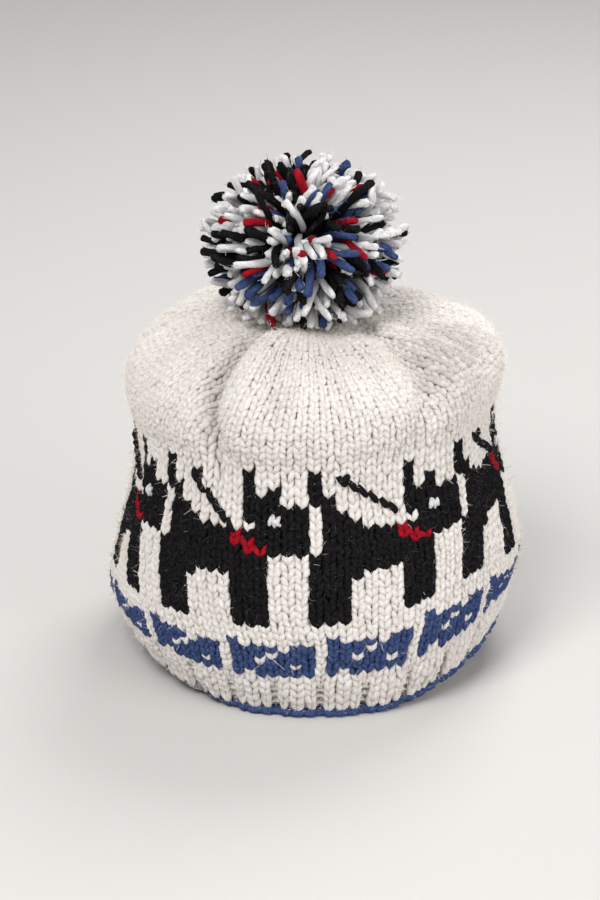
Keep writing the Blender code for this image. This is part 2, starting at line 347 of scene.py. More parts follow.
WOOL = {
    # yarn: its painted shade tone, where it lies down in the cloth, its own colour, its lighter
    # fibres, its sheen
    "cream": ("#98918B", "#DED7D2", "#F4F0ED", 0.4),
    "black": ("#060606", "#121112", "#242224", 0.06),
    "blue": ("#161D36", "#2B3A61", "#4D5E8D", 0.1),
    "red": ("#3C050D", "#800F1C", "#B41B2A", 0.08),
    "white": ("#77777B", "#D6D4D4", "#FAF9F8", 0.4),
}
PLIES = 2
PLY_DEPTH = 0.12  # how far the plies stand out, as a share of the yarn's radius
MOTTLE = 1.1 * MM  # how far apart the wool's lumps and patches are
MOTTLE_RANGE = (0.38, 0.62)
HAIR = 0.35 * MM  # how far apart its fibres are, coarse enough to show
LUMP_DEPTH = 0.5 * MM
HAIR_DEPTH = 0.25 * MM
MIX_A, MIX_B = 6, 7  # the colour inputs of a mix node
MIXED = 2  # its colour output


def wool_material(yarn):
    """Wool worsted, spun and knitted: matt, with a soft sheen of loose fibre, mottled dye and
    painted shade down in the cloth.
    """
    name = f"wool_{yarn}"
    if name in bpy.data.materials:
        return bpy.data.materials[name]
    *tones, sheen = WOOL[yarn]
    # deep is the painted shade tone, for yarn down in the cloth
    deep, shade, light = (np.array(linear(tone)) for tone in tones)
    dyed = np.array(getattr(bpy.context.scene.cosy, yarn)) / shade
    material = plain_material(name, tones[1], Roughness=0.92, Specular_IOR_Level=0.6 * sheen,
                              Sheen_Weight=sheen, Sheen_Roughness=0.5, Sheen_Tint=light * dyed)
    tree = material.node_tree
    shader = tree.nodes["Principled BSDF"]
    place = (add_node(tree, "ShaderNodeTexCoord"), "Object", "Vector")
    # heathered wool: patches, with finer ones in them
    mottle = add_node(tree, "ShaderNodeTexNoise", [place],
                      Scale=1.0 / MOTTLE, Detail=4.0, Roughness=0.8)
    ramp = add_node(tree, "ShaderNodeMapRange", [(mottle, "Fac", "Value")],
                    From_Min=MOTTLE_RANGE[0], From_Max=MOTTLE_RANGE[1])
    blend = add_node(tree, "ShaderNodeMix", [(ramp, "Result", 0)], data_type="RGBA")
    blend.inputs[MIX_A].default_value = shade * dyed
    blend.inputs[MIX_B].default_value = light * dyed
    # painted shade: the colour goes to the yarn's darker tone where the point's painted_light
    # attribute is low, down in the cloth
    painted_light = add_node(tree, "ShaderNodeAttribute", attribute_name="painted_light")
    whole = add_node(tree, "ShaderNodeMix", [(painted_light, "Fac", 0)], data_type="RGBA")
    whole.inputs[MIX_A].default_value = deep * dyed
    tree.links.new(blend.outputs[MIXED], whole.inputs[MIX_B])
    tree.links.new(whole.outputs[MIXED], shader.inputs["Base Color"])
    # lumps of the spinning, with fibres of the worsted on them
    lump = add_node(tree, "ShaderNodeTexNoise", [place], Scale=1.0 / MOTTLE, Detail=2.0)
    coarse = add_node(tree, "ShaderNodeBump", [(lump, "Fac", "Height")],
                      Strength=0.6, Distance=LUMP_DEPTH)
    fibre = add_node(tree, "ShaderNodeTexNoise", [place], Scale=1.0 / HAIR, Detail=2.0)
    relief = add_node(tree, "ShaderNodeBump",
                      [(fibre, "Fac", "Height"), (coarse, "Normal", "Normal")],
                      Strength=0.5, Distance=HAIR_DEPTH)
    tree.links.new(relief.outputs["Normal"], shader.inputs["Normal"])
    return material


# ---- meshes ----

def fill(items, name, values, kind=np.float32):
    """Sets one property of many items of a mesh."""
    items.foreach_set(name, np.asarray(values, dtype=kind).ravel())


def mesh_object(name, points, quads, ends=None, uvs=None, slots=None, materials=(), painted_light=None):
    """An object from arrays of points and quads, smooth shaded.

    painted_light says how much painted shade each point takes: 0, the most, down in the cloth, to
    1, none, on its face."""
    mesh = bpy.data.meshes.new(name)
    mesh.vertices.add(len(points))
    fill(mesh.vertices, "co", points)
    loops, sizes = quads.ravel(), np.full(len(quads), 4)
    if ends is not None:
        loops = np.concatenate((loops, ends.ravel()))
        sizes = np.concatenate((sizes, np.full(len(ends), ends.shape[1])))
    mesh.loops.add(len(loops))
    fill(mesh.loops, "vertex_index", loops, np.int32)
    mesh.polygons.add(len(sizes))
    fill(mesh.polygons, "loop_start", np.cumsum(sizes) - sizes, np.int32)
    fill(mesh.polygons, "use_smooth", np.ones(len(sizes)), bool)
    if slots is not None:
        fill(mesh.polygons, "material_index", slots, np.int32)
    mesh.update(calc_edges=True)
    if uvs is not None:
        fill(mesh.uv_layers.new(name="OFBake").data, "uv", uvs)
    if painted_light is not None:
        fill(mesh.attributes.new("painted_light", "FLOAT", "POINT").data, "value", painted_light)
    for material in materials:
        mesh.materials.append(material)
    piece = bpy.data.objects.new(name, mesh)
    bpy.context.scene.collection.objects.link(piece)
    return piece


FUZZ = 0.045  # unevenness of a yarn's face, as a share of its radius
CELL_FILL = 0.9  # how much of its cell in the bake a tube takes up


def grid_quads(index):
    """The quads of grids of corners, whose rows and columns are the last two axes."""
    return np.stack((index[..., :-1, :-1], index[..., :-1, 1:], index[..., 1:, 1:],
                     index[..., 1:, :-1]), -1)


def sweep(centres, normals, radii, sides, arc=FULL_TURN, oval=None, fuzz=FUZZ):
    """Tubes along many paths at once: (tubes, rings, 3) to points and quads.

    arc below a full turn leaves the inner side of each tube open, where the ground lies. oval is
    the angle at which each ring's two plies lie side by side."""
    tubes, rings = centres.shape[:2]
    tangent = unit(np.gradient(centres, axis=1))
    across = unit(np.cross(tangent, normals))
    outward = np.cross(across, tangent)
    closed = arc >= FULL_TURN
    count = sides if closed else sides + 1
    angles = np.linspace(-arc / 2.0, arc / 2.0, count, endpoint=not closed)
    ring = (np.cos(angles)[:, None] * outward[:, :, None, :]
            + np.sin(angles)[:, None] * across[:, :, None, :])
    reach = np.broadcast_to(radii[:, :, None], (tubes, rings, count))
    if oval is not None:
        reach = reach * (1.0 + PLY_DEPTH * np.cos(PLIES * (angles - oval[:, :, None])))
    uneven = np.random.default_rng(tubes).normal(1.0, fuzz, reach.shape)
    points = centres[:, :, None, :] + (reach * uneven)[..., None] * ring
    index = np.arange(tubes * rings * count).reshape(tubes, rings, count)
    corners = np.concatenate((index, index[..., :1]), -1) if closed else index
    return points.reshape(-1, 3), grid_quads(corners).reshape(-1, 4), index


def cell_uvs(tubes, rings, sides):
    """One cell of the bake for each tube, its length along V."""
    across = math.ceil(math.sqrt(tubes))
    tube = np.arange(tubes)
    cell = np.stack((tube % across, tube // across), -1) / across
    grid = np.meshgrid(np.linspace(0.0, 1.0, sides + 1), np.linspace(0.0, 1.0, rings))
    spots = np.stack(grid, -1) * CELL_FILL + (1.0 - CELL_FILL) / 2.0
    quads = grid_quads(np.arange(rings * (sides + 1)).reshape(rings, -1)).reshape(-1)
    return (cell[:, None] + spots.reshape(-1, 2)[quads] / across).reshape(-1, 2)


# ---- knitting ----

LEG_SIDEWAYS = (0.03, 0.13, 0.25, 0.35, 0.42)  # along one leg of a stitch, in stitches
LEG_UPWARDS = (-0.45, 0.05, 0.52, 0.98, 1.38)  # in rows
LEG_DEPTH = (-1.45, -0.85, -0.65, -1.0, -1.9)  # mm off the face
LEG_FULLNESS = (0.36, 0.82, 1.0, 0.85, 0.38)
# painted shade along a leg: darker at its ends, where it goes into the cloth
LEG_PAINTED_LIGHT = (0.3, 0.9, 1.0, 0.8, 0.1)
LEG_SIDES = 4
LEG_JITTER = (0.09, 0.04, 0.07, 0.22 * MM)  # its spread, its place across, up in rows and out
LEG_UNEVENNESS = 0.09  # of its thickness
LEG_MARGIN = 0.03  # wales that it keeps from the edge of its stitch
WIDEST_LEG = 0.32  # its radius against the stitch's width
USUAL_WIDTH = 4.9 * MM  # of a stitch; wider ones, pulled apart, show fuller legs
FULLEST_LEG = 1.6  # against the usual one
PROUD = 0.25 * MM  # how far the coloured stitches stand above the ground
LEG_ARC = math.radians(235.0)
FOLD_SHADE = 0.40  # painted shade: how much darker the bottom of a deep crease is
FULL_FOLD = 8.0 * MM
GATHERED_ROW = 54  # above this the decreases leave every other wale
CREAM_BANDS = (("lower", 0, 22), ("middle", 22, 43), ("crown", 43, LAST_ROW))  # by rows


def upright(cells):
    """The columns of a list of cells, each as an upright array."""
    return np.array(cells, dtype=float).T[:, :, None]


def stitch_legs(cells, yarn_radius, dice, proud=0.0):
    """Both legs of each stitch: centres, normals and radii of their rings."""
    wale, row, spread = upright(cells)
    legs = []
    for side in (-1.0, 1.0):
        jitter = dice.normal(size=(len(cells), 4)) * LEG_JITTER
        sideways = np.array(LEG_SIDEWAYS) * (1.0 + jitter[:, :1])
        across = wale + 0.5 * spread + side * sideways * spread + jitter[:, 1:2]
        across = np.clip(across, wale + LEG_MARGIN, wale + spread - LEG_MARGIN)
        up = row + np.array(LEG_UPWARDS) + jitter[:, 2:3]
        out = np.array(LEG_DEPTH) * MM + jitter[:, 3:4] + proud
        point, normal, width = off_fabric(across, up, out)
        fullness = yarn_radius * (1.0 + LEG_UNEVENNESS * dice.normal(size=(len(cells), 1)))
        roomy = np.clip(width * spread / USUAL_WIDTH, 1.0, FULLEST_LEG)
        radius = np.minimum(fullness * roomy, WIDEST_LEG * width * spread) * np.array(LEG_FULLNESS)
        legs.append((point, normal, radius))
    return [np.concatenate(parts) for parts in zip(*legs)]


# Yarn laid on the cloth, ring by ring: wales and rows from its stitch, mm off the face, fullness
PURL_BAR = ((0.0, 0.2, 0.5, 0.8, 1.0), (0.32, 0.512, 0.62, 0.512, 0.32),
            (-2.35, -1.55, -1.1, -1.55, -2.35), (0.7, 1.0, 1.05, 1.0, 0.7))
INNER_BAR = ((0.02, 0.5, 0.98), (0.2814, 0.75, 0.2814), (-2.747, -3.3, -2.747), (0.7, 1.05, 0.7))
CAST_ON_BAR = ((-0.15, 0.175, 0.5, 0.825, 1.15), (0.4, 0.505, 0.61, 0.715, 0.82),
               (-2.7, -1.2858, -0.7, -1.2858, -2.7), (0.75, 1.0, 1.05, 1.0, 0.75))


def laid_yarn(wale, row, bar, radius, widest=np.inf, raised=0.0):
    """Centres, normals and radii of laid yarn, at most so many stitches thick."""
    across, up, out, fullness = (np.array(values) for values in bar)
    point, normal, width = off_fabric(wale + across, row + up, out * MM + raised)
    return point, normal, np.minimum(radius, widest * width) * fullness


def purl_bumps(cells, yarn_radius):
    """The bars that lie across each purl stitch, down in the rib's furrows."""
    return laid_yarn(*upright(cells), PURL_BAR, 1.3 * yarn_radius, widest=0.34)


def inner_purls(yarn_radius):
    """The purl bars that cover the knitting's inner face."""
    cells = [(wale, row) for row in range(1, GATHERED_ROW) for wale in range(STITCHES)]
    point, normal, radius = laid_yarn(*upright(cells), INNER_BAR, 1.15 * yarn_radius, widest=0.3)
    return point, -normal, radius


def terrier_starts():
    """The wale at the left of each terrier's chart."""
    return [SPOUT_SLIT[0] + half + FIRST_TERRIER_WALE + terrier * len(TERRIER[0])
            for half in (0, STITCHES // 2) for terrier in range(TERRIERS_A_PANEL)]


STRAND = np.linspace(0.0, 1.0, 5)  # along a stitch of a lead
LEAD_RUN = (0.85, 1.5, -0.35)  # steps that it covers across and up, and rows more
LEAD_END = (1.05, -0.55, -0.95)  # the stitch at the top: its place and run across, its run up
LEAD_OUT = (-1.1, 0.1021, 0.6, 0.1021, -1.1)
LEAD_FULLNESS = (0.6, 0.9, 1.1, 1.0, 0.7)


def lead_strokes(yarn_radius, dice):
    """The leads: slanting stitches worked over the finished ground."""
    strokes = []
    for terrier, start in enumerate(terrier_starts()):
        first_wale, first_row, wale_step, row_step = LEADS[terrier % len(LEADS)]
        for number in range(-1, LEAD_STITCHES):
            wale = start + first_wale + wale_step * max(number, 0) + 0.05 * dice.normal()
            row = TERRIER_FIRST_ROW + first_row + row_step * max(number, 0)
            across = LEAD_RUN[0] * wale_step * STRAND
            up = (LEAD_RUN[1] * row_step + LEAD_RUN[2]) * STRAND
            if number < 0:
                across, up = LEAD_END[0] + LEAD_END[1] * STRAND, LEAD_END[2] * STRAND
            bar = (across, up, LEAD_OUT, LEAD_FULLNESS)
            strokes.append(laid_yarn(wale, row, bar, 1.1 * yarn_radius))
    return [np.array(parts) for parts in zip(*strokes)]


# painted shade along the strands of an eye's knot, darker at their ends
KNOT_PAINTED_LIGHT = (0.45, 0.7, 0.8, 0.7, 0.45)
KNOT_STRANDS = (
    # wales that it lies aside, its lean in wales, its half height in rows
    (-0.27, 0.08, 0.62), (0.0, -0.1, 0.8), (0.26, 0.12, 0.55), (0.1, -0.36, 0.5),
)
KNOT_HEAP = 0.16 * MM
KNOT_OUT = (-0.63, 0.3675, 0.7, 0.3675, -0.63)
KNOT_FULLNESS = (0.75, 0.95, 1.1, 1.0, 0.7)


def eye_knots(yarn_radius):
    """A knot of white yarn for each terrier's eye: four short strands heaped on one another."""
    share = np.linspace(-1.0, 1.0, 5)
    strands = []
    for start in terrier_starts():
        for number, (aside, lean, half_height) in enumerate(KNOT_STRANDS):
            bar = (aside + lean * share, half_height * share, KNOT_OUT, KNOT_FULLNESS)
            strands.append(laid_yarn(start + EYE_WALE, TERRIER_FIRST_ROW + EYE_ROW, bar,
                                     0.75 * yarn_radius, raised=KNOT_HEAP * number))
    return [np.array(parts) for parts in zip(*strands)]


TUCK = 2.6 * MM  # how far the cast-on is turned under at the spout's side
TUCK_WALES = (HANDLE_SLIT[0] + 28.0, SPOUT_SLIT[0] + 17.0)
TUCK_FADE = (-5.0, 2.0)  # wales before its last one over which the tuck fades


def cast_on_edge(yarn_radius):
    """The slanting bars of the cast-on round that the cosy rests on."""
    wale = np.arange(STITCHES, dtype=float)[:, None]
    tucked = smooth_step(*TUCK_FADE, TUCK_WALES[1] - wale) * (wale > TUCK_WALES[0])
    return laid_yarn(wale, 0.0 * wale, CAST_ON_BAR, 1.45 * yarn_radius, raised=-TUCK * tucked)


# patches of painted shade on the crown's wool
PAINTED_SHADE_PATCHES = (
    # azimuth, half width degrees, row, half height rows, how dark
    (63, 14, 47.5, 4, 0.85), (46, 7, 44, 2.5, 0.3), (-12, 4, 44, 2, 0.2), (30, 9, 50, 2.5, 0.2),
)
PAINTED_SHADE_SHARES = (0.5, 1.3)  # how much of a patch of painted shade each leg takes, by chance
LEG_TONES = (0.88, 1.0)  # how bright each leg is, by chance
EDGE_PAINTED_LIGHT = 0.4  # painted shade at the edges of a tube: how much light they keep


def painted_fold_light(cells):
    """Painted light of the cream stitches' legs, left ones first: painted shade in creases and in
    patches on the crown.
    """
    wale, row, _ = upright(cells)[..., 0]
    azimuth = gaped_azimuth(wale + 0.5, row, 1.0)
    depth = crease_depth(azimuth, row, profile_at(row, 2))
    light = 1.0 - FOLD_SHADE * np.clip(depth / FULL_FOLD, 0.0, 1.0) ** 2
    dice = np.random.default_rng(31)
    patchy = dice.uniform(*PAINTED_SHADE_SHARES, (2, len(wale)))
    for *place, dark in PAINTED_SHADE_PATCHES:
        light = light * (1.0 - dark * mound(np.degrees(azimuth), row, *place) * patchy)
    return (light * dice.uniform(*LEG_TONES, patchy.shape)).ravel()


def tube_piece(name, paths, material, sides=LEG_SIDES, arc=LEG_ARC, painted_light_along=(1.0,),
               painted_light_tubes=(1.0,)):
    """A piece of many tubes, with painted shade at their ends and edges, where they dip into the
    cloth.
    """
    points, quads, index = sweep(*paths, sides, arc)
    painted_light = np.ones(index.shape)
    if arc < FULL_TURN:
        edge = np.cos(np.linspace(-1.0, 1.0, index.shape[2]) * math.pi / 2.0)
        painted_light = painted_light * (EDGE_PAINTED_LIGHT + (1.0 - EDGE_PAINTED_LIGHT) * np.sqrt(np.maximum(edge, 0.0)))
    painted_light = painted_light * np.array(painted_light_along)[:, None] * np.array(painted_light_tubes)[:, None, None]
    return mesh_object(name, points, quads, uvs=cell_uvs(*index.shape[:2], sides),
                       materials=(material,), painted_light=painted_light)


def knitted_cells():
    """Every knit stitch by yarn, as wale, row and how many wales it spans."""
    cells = {yarn: [] for yarn in WOOL}
    purls = []
    for row in range(1, LAST_ROW - 1):
        spread = 1 if row < GATHERED_ROW else 2
        for wale in range(0, STITCHES, spread):
            if wale % RIB_REPEAT == 0 and row < RIB_END_ROWS[0]:
                purls.append((wale, row))
            else:
                cells[yarn_at(wale, row)].append((wale, row, spread))
    return cells, purls


# the ground takes mostly its yarn's painted shade tone: painted shade between the stitches and
# inside
GROUND_PAINTED_LIGHT = 0.22
GROUND_DEPTH = -2.2 * MM
GROUND_FIRST_ROW = 0.15
SLIT_MARGIN = 0.1  # wales from a slit where the ground's normals are read


def ground_sheet():
    """The knitting's own cloth, in painted shade: what shows between the legs of its stitches, and
    inside.
    """
    yarns = list(WOOL)
    points, quads, slots, uvs = [], [], [], []
    rows = np.concatenate(([GROUND_FIRST_ROW], np.arange(1.0, LAST_ROW)))
    steps = np.arange(STITCHES + 1)     # two a stitch, for half the round
    for half, start in enumerate((SPOUT_SLIT[0], HANDLE_SLIT[0])):
        wale, row = np.meshgrid(start + steps / 2.0, rows)
        side = np.ones(wale.shape)
        side[:, -1] = -1.0
        inner = np.clip(wale, start + SLIT_MARGIN, start + STITCHES // 2 - SLIT_MARGIN)
        normal = off_fabric(inner, row, np.zeros(inner.shape))[1]
        points.append((fabric_point(wale, row, side) + normal * GROUND_DEPTH).reshape(-1, 3))
        corners = grid_quads(np.arange(wale.size).reshape(wale.shape)).reshape(-1, 4)
        quads.append(corners + half * wale.size)
        slots += [yarns.index(yarn_at((start + step // 2) % STITCHES, level))
                  for level in range(len(rows) - 1) for step in range(STITCHES)]
        across = np.broadcast_to(half / 2.0 + steps / (2.0 * STITCHES) * 0.999, row.shape)
        uvs.append(np.stack((across, row / LAST_ROW), -1).reshape(-1, 2)[corners].reshape(-1, 2))
    points = np.concatenate(points)
    return mesh_object("knit_ground", points, np.concatenate(quads), uvs=np.concatenate(uvs),
                       slots=slots, painted_light=np.full(len(points), GROUND_PAINTED_LIGHT),
                       materials=[wool_material(yarn) for yarn in yarns])


# ---- loose fibres ----

FIBRES = (
    # name, yarn, share of the count, length and width against the usual, lift, curl, faces
    ("short_fibres", "cream", 2.5, 0.65, 1.0, 0.35, 0.35, 1),
    ("stray_fibres", "cream", 0.05, 1.8, 0.45, 0.9, 0.55, 6),
    ("dim_fibres", "black", 0.9, 0.75, 1.0, 0.3, 0.5, 2),
)
FIBRE_ROWS = (0.6, 62.0)
FIBRE_DEPTH = -0.2 * MM  # of their roots
FIBRE_WIDTHS = (0.08 * MM, 0.17 * MM)
FIBRE_GAMMA = (3.0, 0.33)  # spread of their lengths
LONGEST_FIBRE = 8.5 * MM
FIBRE_SCATTER, LEAST_LIFT = 0.6, 0.12  # of their ways
FIBRE_TWIST, FIBRE_TAPER = 2.6, 0.5
LOWEST_ROOT, LOWEST_FIBRE = 0.5 * MM, 0.2 * MM
HEM_FIBRES = 8.0 * MM  # below this they rise
BLOWN_OVER = 0.006  # share of the cream fibres that lie over coloured stitches
FIBRE_COLOURS = {"cream": "#F6EFE6", "white": "#F4F3F2", "black": "#4A484B"}


def ribbons(roots, ways, lengths, widths, dice, curl, faces=2):
    """Loose fibres: narrow strips of a few faces, each curling as it leaves the yarn."""
    count = len(roots)
    sideways = unit(np.cross(ways, dice.normal(size=(count, 3))))
    other = np.cross(ways, sideways)
    share = np.linspace(0.0, 1.0, faces + 1)
    turn = (dice.uniform(0.0, FULL_TURN, (count, 1))
            + share * dice.normal(0.0, FIBRE_TWIST, (count, 1)))
    bow = curl * lengths[:, None] * share ** 1.3
    path = (roots[:, None] + ways[:, None] * (lengths[:, None] * share)[..., None] * 0.9
            + sideways[:, None] * (bow * np.cos(turn))[..., None]
            + other[:, None] * (bow * np.sin(turn))[..., None])
    flat = unit(np.cross(unit(np.gradient(path, axis=1)), dice.normal(size=(count, 1, 3))))
    half = (widths[:, None] * (1.0 - FIBRE_TAPER * share))[..., None] * 0.5
    points = np.stack((path - flat * half, path + flat * half), 2)
    index = np.arange(count * (faces + 1) * 2).reshape(count, faces + 1, 2)
    return points.reshape(-1, 3), grid_quads(index).reshape(-1, 4)


def halo(name, yarn, *strips):
    """A piece of single wool fibres that stand off the yarn: paler than it, with a faint sheen."""
    points, quads = ribbons(*strips)
    points[:, 2] = np.maximum(points[:, 2], LOWEST_FIBRE)
    material = plain_material(f"wool_fibre_{yarn}", FIBRE_COLOURS[yarn], Roughness=0.7,
                              Specular_IOR_Level=0.3, Sheen_Weight=0.3)
    piece = mesh_object(name, points, quads, materials=(material,))
    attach(piece, "root")


# ---- pompom ----

# Where bundles of coloured yarn come out of the white, seen from the front: right, up and size in
# percent of the pompom's radius, and the letter of the yarn
YARN_BUNDLES = (
    (-41, 74, 21, "K"), (-11, 89, 10, "K"), (-3, 65, 10, "B"), (15, 78, 8, "B"), (27, 76, 8, "R"),
    (3, 52, 8, "R"), (-3, 35, 15, "K"), (31, 30, 17, "K"), (50, 40, 10, "K"), (30, 44, 8, "R"),
    (50, 51, 7, "B"), (66, 59, 7, "R"), (81, 37, 9, "K"), (77, 26, 8, "B"), (48, 14, 16, "B"),
    (13, 12, 10, "R"), (48, 2, 7, "R"), (80, 10, 7, "R"), (50, -8, 12, "K"), (43, -25, 14, "B"),
    (67, -17, 7, "R"), (68, -38, 14, "K"), (92, -12, 8, "B"), (68, -52, 7, "R"), (42, -57, 17, "K"),
    (-14, 1, 7, "B"), (-43, 8, 11, "B"), (-62, 20, 16, "K"), (-88, 12, 10, "K"),
    (-83, -14, 10, "K"), (-48, -10, 10, "K"), (-62, -31, 13, "K"), (-92, -38, 9, "B"),
    (-26, -25, 9, "B"), (-74, -47, 12, "K"), (-62, -52, 12, "B"), (-17, -46, 9, "R"),
    (-25, -64, 16, "K"), (-34, -68, 9, "B"), (-36, -86, 7, "R"), (2, -72, 14, "B"),
    (5, -90, 11, "B"), (27, -64, 7, "R"), (62, -60, 8, "B"),
)
VIEW_TILT = math.radians(23.0)  # the pompom's parting faces this far above level
PARTING = (0.02, 0.14)  # right and up, as shares of the radius
HIND = -0.3  # how far a strand faces forward where the bundles end
HIND_BUNDLES = 110
HIND_SHARES = (("black", 0.24), ("blue", 0.15), ("red", 0.07))
BUNDLE_SPREAD = {"black": (0.95, 1.25), "blue": (0.95, 1.20), "red": (0.75, 1.05)}
STRAY = 0.03  # how far a strand strays from its bundle, of the radius
LONER_SHARES = (("black", 0.05), ("blue", 0.03), ("red", 0.015), ("white", 0.04))
STRAND_SIDES = 6
STRAND_FUZZ = 0.05
# along a strand, from the tie to its cut end: its rings, how thick it is and its painted light
# there, with painted shade towards the tie
STRAND_RINGS = np.array((0.0, 0.2, 0.36, 0.5, 0.61, 0.71, 0.80, 0.88, 0.94, 0.975, 1.0))
STRAND_FULLNESS = (0.7, 0.8, 0.9, 0.95, 0.98, 1.0, 1.0, 1.0, 0.99, 0.94, 0.62)
STRAND_PAINTED_LIGHT = (0.0, 0.0, 0.0, 0.1, 0.25, 0.5, 0.75, 0.93, 1.0, 1.0, 0.9)
STRAND_UNEVENNESS = 0.10  # of the strands' thickness
PAINTED_LIGHT_UNEVENNESS = 0.08
WAY_SCATTER = 0.06  # of the strands' ways
ROOT_SCATTER = 0.14  # of the angle at which they leave the tie, in radians
TIE_REACH = 0.45  # where a strand starts, of the radius
SHORTER = 0.30  # how much shorter the shortest strands are
WILD, WILDER = 0.2, 2.0  # share of the strands that sway more, and how much
SWAY, BEND = 0.13, 0.055  # of the radius
PLY_TURNS = 1.7  # of the two plies, along a strand
PLY_SHADE = 0.40  # painted shade in the groove between the plies: how dark it is
SUNK = 6.0 * MM  # a strand that ends this far below the crown is left out
# its down, the loose fibres on the strands
DOWN_COUNT = 22000
DOWN_RINGS = (5, 11)  # of a strand, that it stands on
DOWN_GAMMA, DOWN_LENGTH, DOWN_LONGEST = (2.2, 0.5), 1.2 * MM, 6.0 * MM
DOWN_WIDTH, DOWN_SCATTER, DOWN_CURL = 0.16 * MM, 0.9, 0.35
DOWN_RISES = 8.0 * MM  # nearer than this to the crown
HEART_SHARE = 0.62  # of the pompom's radii
HEART_GRID = (24, 16)


def crown_height(points):
    """Height of the crown below points of the pompom."""
    distance = np.hypot(points[..., 0] - CROWN_LEAN, points[..., 1])
    rows = np.linspace(*DISH_ROWS, 80)
    radii, heights = profile_at(rows, 2), profile_at(rows, 1)
    return np.interp(distance, radii[::-1], heights[::-1])


def deal(yarns, chances, shares):
    """Gives each yarn its share of the chances; the other strands stay as they are."""
    low = 0.0
    for yarn, share in shares:
        yarns[(chances >= low) & (chances < low + share)] = yarn
        low += share


def strand_yarns(ways, dice):
    """Which yarn each strand is, from the bundle that it comes out of."""
    count = len(ways)
    up = np.array((0.0, math.sin(VIEW_TILT), math.cos(VIEW_TILT)))
    front = np.array((0.0, -math.cos(VIEW_TILT), math.sin(VIEW_TILT)))
    facing = ways @ front
    yarns = np.full(count, "white", dtype=object)
    across = ways[:, 0] + dice.normal(0.0, STRAY, count)
    height = ways @ up + dice.normal(0.0, STRAY, count)
    for *percent, letter in YARN_BUNDLES:
        yarn = YARNS[letter]
        right, rise, size = (value / 100.0 for value in percent)
        reach = size * dice.uniform(*BUNDLE_SPREAD[yarn], count)
        near = np.hypot(across - right, height - rise) < reach
        yarns[near & (facing > HIND)] = yarn
    deal(yarns, dice.random(count), LONER_SHARES)
    seeds = unit(dice.normal(size=(HIND_BUNDLES, 3)))
    seed_yarns = np.full(HIND_BUNDLES, "white", dtype=object)
    deal(seed_yarns, dice.random(HIND_BUNDLES), HIND_SHARES)
    behind = facing <= HIND
    yarns[behind] = seed_yarns[np.argmax(ways @ seeds.T, axis=1)[behind]]
    return yarns


def strand_paths(count, dice):
    """Middle lines of the cut strands: from the tie outwards, bending away from the parting."""
    step = np.arange(count) + 0.5
    level = 1.0 - 2.0 * step / count
    turn = math.pi * (1.0 + math.sqrt(5.0)) * step
    flat = np.sqrt(1.0 - level * level)
    ways = np.stack((flat * np.cos(turn), flat * np.sin(turn), level), -1)
    ways = unit(ways + dice.normal(0.0, WAY_SCATTER, ways.shape))
    yarns = strand_yarns(ways, dice)
    pole = unit(np.array((PARTING[0], -math.cos(VIEW_TILT), math.sin(VIEW_TILT) + PARTING[1])))
    cosine = ways @ pole
    pole_side = np.where(cosine >= 0.0, 1.0, -1.0)[:, None] * pole
    angle = np.arccos(np.clip(np.abs(cosine), 0.0, 1.0))
    sideways = unit(ways - pole_side * np.abs(cosine)[:, None])
    share = STRAND_RINGS
    root_angle = angle * (0.5 + 0.5 * (angle / (math.pi / 2.0)) ** 2)
    root_angle = root_angle + dice.normal(0.0, ROOT_SCATTER, count)
    angles = root_angle[:, None] + (angle - root_angle)[:, None] * share ** 1.2
    reach = ((TIE_REACH + (1.0 - TIE_REACH) * share ** 0.85)
             * (1.0 - SHORTER * dice.random((count, 1)) ** 1.2))
    path = (pole_side[:, None] * np.cos(angles)[..., None]
            + sideways[:, None] * np.sin(angles)[..., None]) * reach[..., None]
    around = np.cross(pole_side, sideways)
    wild = np.where(dice.random((count, 1)) < WILD, WILDER, 1.0)
    sway = dice.normal(0.0, SWAY, (count, 1)) * wild * share ** 1.5
    path = path + around[:, None] * sway[..., None]
    bend = dice.normal(0.0, BEND, (count, 1, 3)) * np.sin(math.pi * share)[:, None]
    path = (path + bend) / np.maximum(np.linalg.norm(path + bend, axis=-1, keepdims=True), 1.0)
    return path * POMPOM_RADII + POMPOM_CENTRE, yarns


def pompom_shaded_heart():
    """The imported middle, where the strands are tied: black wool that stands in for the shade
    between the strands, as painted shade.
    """
    rings, sides = HEART_GRID
    index = np.arange(rings * sides).reshape(rings, sides)
    polar = np.linspace(0.02, math.pi - 0.02, rings)[:, None]
    turn = np.linspace(0.0, FULL_TURN, sides, endpoint=False)[None]
    points = np.stack((np.sin(polar) * np.cos(turn), np.sin(polar) * np.sin(turn),
                       np.cos(polar) + 0.0 * turn), -1)
    lumps = 1.0 + 0.06 * np.sin(7.0 * turn + 3.0 * polar) * np.sin(5.0 * polar)
    points = points * lumps[..., None] * POMPOM_RADII * HEART_SHARE + POMPOM_CENTRE
    points[..., 2] = np.maximum(points[..., 2], crown_height(points) + 1.0 * MM)
    quads = grid_quads(np.concatenate((index, index[:, :1]), 1).T).swapaxes(0, 1)
    caps = np.stack((index[0], index[-1][::-1]))
    return mesh_object("pompom_shaded_heart", points.reshape(-1, 3), quads.reshape(-1, 4), ends=caps,
                       materials=(wool_material("black"),))


# ---- settings and operators ----

def length(name, description, default, low, high):
    """A setting for a length, its values in mm."""
    return bpy.props.FloatProperty(name=name, description=description, default=default * MM,
                                   min=low * MM, max=high * MM, unit="LENGTH")


def dye(yarn):
    """A setting for a yarn's colour; its darker and lighter tones follow it."""
    return bpy.props.FloatVectorProperty(
        name=f"{yarn.capitalize()} yarn", description=f"Colour of the {yarn} yarn", subtype="COLOR",
        size=4, min=0.0, max=1.0, default=linear(WOOL[yarn][1]))


